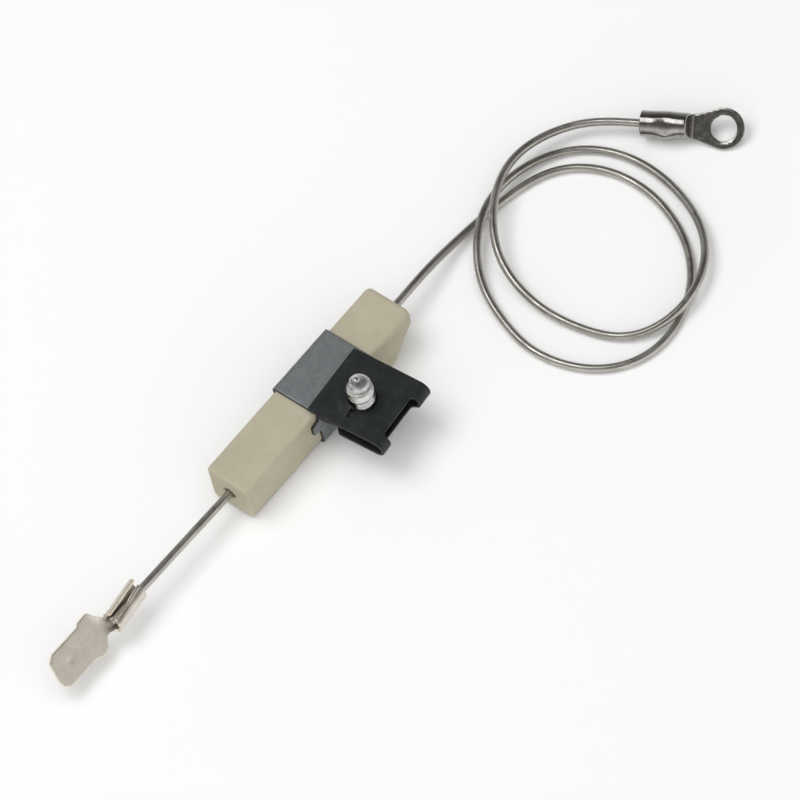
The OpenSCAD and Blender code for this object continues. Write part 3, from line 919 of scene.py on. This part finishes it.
def make_sensor_wire(material):
    """The wire from inside the tab's crimp, through the bore, to where the free lead begins."""
    bend = Vector(WIRE_BEND)
    turn = Matrix.Rotation(math.radians(TAB_YAW), 3, "Z") @ Matrix.Rotation(math.radians(TAB_PITCH), 3, "Y")
    ahead = turn @ Vector((1, 0, 0))
    length = TAB_START + TAB_BARREL + 0.4
    outer_steps, inner_steps, end_bevel = 40, 30, 0.15
    path = [bend + ahead * (length * (1 - i / outer_steps)) for i in range(outer_steps + 1)]
    path.insert(1, bend + ahead * (length - end_bevel))
    for i in range(1, inner_steps + 1):
        path.append(Vector((bend.x + (ROD_END - bend.x) * i / inner_steps, 0, AXIS_Z)))
    radii = [WIRE_R * 0.8] + [WIRE_R] * (len(path) - 1)
    wire = tube("sensor_wire_piece", path, radii, 28, material)
    attach(wire, "probe", "sensor_alloy", "sensor_rod")


# ---- ceramic block ----


def block_row(x, low, high, radii, inset):
    """One section of the block: its low and high corners in Y and Z, and its radii counterclockwise."""
    (y0, z0), (y1, z1) = low, high
    y0, z0, y1, z1 = y0 + inset, z0 + inset, y1 - inset, z1 - inset
    corners = ((y0, z0, 1, 1), (y1, z0, -1, 1), (y1, z1, -1, -1), (y0, z1, 1, -1))
    steps, side_steps = 7, 10
    row = []
    for (cy, cz, to_y, to_z), start, r in zip(corners, (180, 270, 0, 90), radii):
        r = min(max(r - inset * 0.35, 0.15), (z1 - z0) * 0.49)
        for k in range(steps + 1):
            a = math.radians(start + 90 * k / steps)
            row.append((cy + to_y * r + r * math.cos(a), cz + to_z * r + r * math.sin(a)))
    return section(x, row, steps + 1, side_steps)


def block_bottom_at(x):
    """Height of the head's underside, which slants up to the coil end."""
    return max(0.0, (x - (BLOCK_COIL_END - SLANT_RUN)) * SLANT_TOP / SLANT_RUN)


def block_rows():
    """The block's sections: rounded tab end, straight body, and thicker head with a slanted coil end."""
    body_low, body_high = (-HALF_WIDTH, BLOCK_BOTTOM), (HALF_WIDTH, BLOCK_TOP)
    body_radii = [0.7, 0.7, 0.7, 0.75]
    head_y = -HALF_WIDTH - STRAP_T
    end_r, coil_r, end_steps, coil_steps = 0.8, 1.3, 5, 6
    rows = []
    for k in range(end_steps + 1):
        a = math.pi / 2 * (1 - k / end_steps)
        x = BLOCK_TAB_END + end_r * (1 - math.cos(math.pi / 2 - a))
        rows.append(block_row(x, body_low, body_high, body_radii, end_r * (1 - math.cos(a))))
    x = BLOCK_TAB_END + end_r + 0.6
    while x < HEAD_START - 0.3:
        rows.append(block_row(x, body_low, body_high, body_radii, 0))
        x += 0.9
    rows.append(block_row(HEAD_START - 0.05, body_low, body_high, body_radii, 0))
    x = HEAD_START
    while x < BLOCK_COIL_END - coil_r:
        grow = smooth(HEAD_START, BLOCK_COIL_END, x)
        step_in = 0.12 * (1 - smooth(HEAD_START, HEAD_START + 0.25, x))
        low = (head_y + step_in, block_bottom_at(x) + step_in)
        rows.append(block_row(x, low, body_high, [0.8 + grow, 0.8, 0.8, 0.85 + 1.6 * grow], 0))
        x += 0.15 if x < HEAD_START + 0.3 else 0.5
    for k in range(coil_steps + 1):
        a = math.pi / 2 * k / coil_steps
        x = BLOCK_COIL_END - coil_r + coil_r * math.sin(a)
        low = (head_y, block_bottom_at(x))
        rows.append(block_row(x, low, body_high, [1.8, 0.8, 0.8, 2.45], coil_r * (1 - math.cos(a))))
    return rows


def make_ceramic(material):
    """The pressed block: its sections, faintly uneven, with the bore cut out."""
    rows = block_rows()
    for row in rows:
        for i, p in enumerate(row):
            out = Vector((0, p.y, p.z - AXIS_Z)).normalized()
            lump = 0.035 * wobble(p, 7, 2) + 0.02 * wobble(p, 1.6, 5)
            row[i] = p + out * (lump - 0.03)
    block = ring_grid("ceramic_block_piece", rows, material)
    cut_bore(block)
    weight_normals(block)
    attach(block, "probe", "steatite", "ceramic_insulator")


def cut_bore(block):
    """Cuts the bore, its softened mouth and the cement pocket out of the block."""
    sides, over, mouth_r = 40, 2.0, BORE_R + 0.35
    steps = [(BLOCK_TAB_END - over, mouth_r), (BLOCK_TAB_END, mouth_r), (BLOCK_TAB_END + 0.15, BORE_R + 0.12),
             (BLOCK_TAB_END + 0.45, BORE_R), (POCKET_X, BORE_R), (POCKET_X, POCKET_R),
             (BLOCK_COIL_END + over, POCKET_R)]
    rows = [[Vector((x, y, z)) for y, z in circle(0, AXIS_Z, r, sides)] for x, r in steps]
    tool = ring_grid("bore_tool", rows, block.data.materials[0])
    combine(block, tool, "DIFFERENCE")


def make_cement(material):
    """The cement round the wire, just below the block's slanted face and drawn up a little at the wire."""
    sides, rings, sunk, drawn_up = 36, 7, 0.55, 0.5
    start, outer_r = POCKET_X + 0.02, POCKET_R - 0.01
    rows = [[Vector((start, y, z)) for y, z in circle(0, AXIS_Z, r, sides)] for r in (WIRE_R, outer_r)]
    for i in range(rings + 1):
        r = outer_r + (WIRE_R - 0.02 - POCKET_R) * i / rings
        row = []
        for y, z in circle(0, AXIS_Z, r, sides):
            face = min(BLOCK_COIL_END, BLOCK_COIL_END - SLANT_RUN * (1 - z / SLANT_TOP))
            rise = drawn_up * smooth(POCKET_R, WIRE_R, r) - sunk + 0.12 * wobble((0, y, z), 0.8, 3)
            row.append(Vector((max(face + rise, start + 0.5), y, z)))
        rows.append(row)
    cement = ring_grid("bore_cement_piece", rows + [rows[0]], material, ends=False)
    attach(cement, "probe", "cement", "cement_plug")


# ---- strap ----


def make_strap(material):
    """One strip, bent once round the block and out into two flanges, with an ear and a tab on its sides."""
    middle, bend_r = STRAP_T / 2, 0.7
    side, low, top = HALF_WIDTH + middle, middle, BLOCK_TOP + middle
    lower = BLOCK_TOP - FLANGE_GAP - middle
    steps = [straight(FLANGE_REACH + side - bend_r), arc(bend_r, -90), straight(top - low - 2 * bend_r),
             arc(bend_r, -90), straight(2 * side - 2 * bend_r), arc(bend_r, -90),
             straight(lower - low - 2 * bend_r), arc(bend_r, 90), straight(FLANGE_REACH - side - bend_r)]
    line = folded_line((-FLANGE_REACH, top), 0, steps)
    total = flat_length(steps)
    back_wall = flat_length(steps[:2]) + top - bend_r
    front_wall = flat_length(steps[:6]) - low - bend_r
    ear_x, ear_end, ear_low = STRAP_BACK - 1.9, 0.6, front_wall + 5.0
    narrow_x, tip_x, corner = -2.4, -1.9, 1.8
    from_tip, wall = FLANGE_REACH + SCREW_Y, FLANGE_REACH - side
    tab_low, tab_high, tab_end = back_wall - 8.0, back_wall - 3.0, STRAP_FRONT + 4.8
    plan = rounded(
        [(tip_x + corner, 0), (STRAP_FRONT - corner, 0), (STRAP_FRONT, corner), (STRAP_FRONT, tab_low),
         (tab_end, tab_low), (tab_end, tab_high), (STRAP_FRONT, tab_high),
         (STRAP_FRONT, total - corner), (STRAP_FRONT - corner, total), (tip_x + corner, total),
         (tip_x, total - corner), (narrow_x, total - from_tip), (STRAP_BACK, total - wall + ear_end),
         (STRAP_BACK, total - wall - 0.9), (ear_x, total - wall - 1.5), (ear_x, ear_low + 0.3),
         (STRAP_BACK, ear_low), (STRAP_BACK, wall - ear_end), (narrow_x, from_tip), (tip_x, corner)],
        [0.6] * 3 + [0.25, 0.8, 0.8, 0.25] + [0.6] * 4 + [0, 0.4, 0.2, 0.3, 0.4, 0.25, 0.4, 0, 0.6], 4)

    def place(x, s, n):
        (y, z), normal = line(s)
        lift = 0.03 * wobble((x, y, z), 5, 7)
        return Vector((x, y + normal.x * (n + lift), max(z + normal.y * (n + lift), 0)))

    holes = [circle(SCREW_X, s, FLANGE_HOLE_R, 40) for s in (from_tip, total - from_tip)]
    strap = sheet("strap_piece", divided(plan, 0.35), holes, STRAP_T, place, material, step=0.42, edge=0.08)
    attach(strap, "probe", "zinc_sheet", "strap_bracket")


# ---- U-nut ----


def slit_hole(r, middle):
    """The thread hole about (0, middle) in the flat nut, counterclockwise, with its slit towards the tab."""
    slit_half, slit_end, arcs = 0.22, -5.0, 44
    mouth = math.degrees(math.asin(slit_half / r))
    turn = [math.radians(180 - mouth - (360 - 2 * mouth) * k / arcs) for k in range(arcs + 1)]
    points = [(r * math.cos(a), middle - r * math.sin(a)) for a in turn]
    points += [(slit_end + 0.2, middle + slit_half - 0.2), (slit_end, middle - 0.3),
               (slit_end + 0.2, middle - slit_half - 0.3)]
    return divided(points, 0.35)


def make_u_nut(material):
    """One black spring-steel strip folded over the flanges, with a window in its fold and a thread hole."""
    fold_r = (NUT_HEIGHT - NUT_T) / 2
    fold_y = NUT_HEIGHT / 2 - NUT_FOLD_REACH
    leaf = NUT_FREE_EDGE - fold_y
    bend = math.pi * fold_r
    lower_free, lower_half, taper, lower_hole_r = 4.3, 5.0, 1.2, 3.4
    hole_r = THREAD_R + 0.05
    steps = [straight(leaf), arc(fold_r, 180), straight(lower_free - fold_y)]
    line = folded_line((NUT_FREE_EDGE, LEAF_Z), 180, steps)
    total = leaf + bend + lower_free - fold_y
    left, right, window_in = -4.9, 5.1, 1.7 - NUT_HEIGHT / 2
    upper, lower = leaf - window_in, leaf + bend + window_in + 0.5
    plan = rounded(
        [(-NUT_HALF, 0), (NUT_HALF, 0), (NUT_HALF, total + taper - lower_free), (lower_half, total),
         (-lower_half, total), (-NUT_HALF, total + taper - lower_free)],
        [0.25, 0.25, 0.6, 0.6, 0.6, 0.6], 4)
    plan = [(x + NUT_SHIFT, s) for x, s in plan]
    window = rounded([(left, upper), (right, upper), (right, lower), (left, lower)], 0.9, 5)
    spot = Matrix.Translation((SCREW_X, SCREW_Y, 0)) @ Matrix.Rotation(math.radians(NUT_ANGLE), 4, "Z")

    def place(x, s, n):
        (y, z), normal = line(s)
        here = Vector((x, y - normal.x * n, z - normal.y * n))
        if s < leaf - 2:
            # the sheet follows the thread: up on one side of the slit, and less far down on the other
            turn = math.atan2(y, x) / math.pi
            depth, reach = (0.85, 5.2) if turn > 0 else (0.4, 3.3)
            here.z += depth * turn * (1 - smooth(hole_r, reach, math.hypot(x, y)))
        here.z += 0.03 * wobble((x, y, z), 6, 11)
        return spot @ here

    lower_hole = circle(0, leaf + bend - fold_y, lower_hole_r, 44)
    holes = [divided(window, 0.4), slit_hole(hole_r, NUT_FREE_EDGE), lower_hole]
    nut = sheet("u_nut_piece", divided(plan, 0.4), holes, NUT_T, place, material, step=0.36, edge=0.1)
    attach(nut, "nut", "black_spring_steel", "u_nut")


# ---- clamp screw ----


def hex_radius(angle, most):
    """Radius of the hexagon head at an angle, with its corners cut back to the most."""
    a = (math.degrees(angle) + 30) % 60 - 30
    return min(HEX_HALF / math.cos(math.radians(a)), most)


def thread_radius(angle, z):
    """Radius of the right-hand thread at an angle and a height. It fades out at the seat and on the cone."""
    crest_start = LEAF_Z + PITCH / 2
    crest_flat, upper_flank, lower_flank = 0.08, 1.5, 0.3
    turn = (z - crest_start) / PITCH - (angle - math.radians(NUT_ANGLE)) / (2 * math.pi)
    off = ((turn + 0.5) % 1 - 0.5) * PITCH
    flank = upper_flank if off > 0 else lower_flank
    ridge = max(0, 1 - max(abs(off) - crest_flat / 2, 0) / flank)
    on_cone = smooth(CONE_Z - 0.9, CONE_Z + 0.15, z)
    fade = smooth(SCREW_SEAT + 0.1, SCREW_SEAT + 1.4, z) * (1 - 0.75 * on_cone)
    return ROOT_R + (THREAD_R - ROOT_R) * ridge * fade


def screw_profile():
    """The screw from its head up: a height, and the radius there as a function of the angle."""
    seat = SCREW_SEAT
    washer_low = seat - WASHER_T
    head_low = washer_low - HEX_HEIGHT
    cone_steps, cone_r, step = 9, 0.62, 0.05

    def even(r):
        return lambda angle: r

    def hexed(most):
        return lambda angle: hex_radius(angle, most)

    def wound(z, share):
        return lambda angle: cone_r + (thread_radius(angle, z) - cone_r) * share

    def rows(start, shape, *pairs):
        return [(start + up, shape(r)) for up, r in pairs]

    profile = rows(head_low, even, (0.35, 0.01), (0.35, 2.4), (0.05, 3.1), (0, 3.5))
    profile += rows(head_low, hexed, (0, 3.9), (0.12, 4.1), (0.45, 4.7))
    profile += rows(washer_low, hexed, (-0.1, 4.7), (0.02, 4.9))
    profile += rows(washer_low, even, (0.05, WASHER_R - 0.3), (0.2, WASHER_R - 0.06))
    profile += rows(seat, even, (-0.4, WASHER_R), (-0.12, WASHER_R - 0.04), (0, WASHER_R - 0.2))
    profile += rows(seat, even, (0, 2.5), (0.12, 2.1))
    z = seat + 0.25
    while z < CONE_Z:
        profile.append((z, lambda angle, z=z: thread_radius(angle, z)))
        z += step
    for k in range(1, cone_steps + 1):
        t = k / cone_steps
        z = CONE_Z + (NUB_Z - CONE_Z) * t
        profile.append((z, wound(z, 1 - t ** 1.5)))
    profile += rows(NUB_Z, even, (0.1, 0.56))
    return profile + rows(SCREW_TOP, even, (-0.1, 0.5), (-0.03, 0.4), (0, 0.25), (0, 0.01))


def make_screw(material):
    """Hexagon washer-head screw with a coarse right-hand thread, a short cone and the forging's small nub."""
    sides = 96
    turn = [2 * math.pi * k / sides for k in range(sides)]
    rows = []
    for z, radius in screw_profile():
        lean = smooth(CONE_Z, NUB_Z, z)
        cx, cy = SCREW_X - 0.12 * lean, SCREW_Y + 0.15 * lean
        rows.append([Vector((cx + radius(a) * math.cos(a), cy + radius(a) * math.sin(a), z)) for a in turn])
    screw = ring_grid("clamp_screw_piece", rows, material)
    attach(screw, "screw", "bright_zinc", "clamp_screw")


def main():
    make_camera()
    alloy = sensor_alloy()
    make_lead(alloy, make_ring_terminal(bright_nickel()))
    make_stage()
    make_sensor_wire(alloy)
    make_tab_terminal(satin_nickel())
    make_ceramic(steatite())
    make_cement(refractory_cement())
    make_strap(zinc_sheet())
    make_u_nut(black_spring_steel())
    make_screw(bright_zinc())


main()
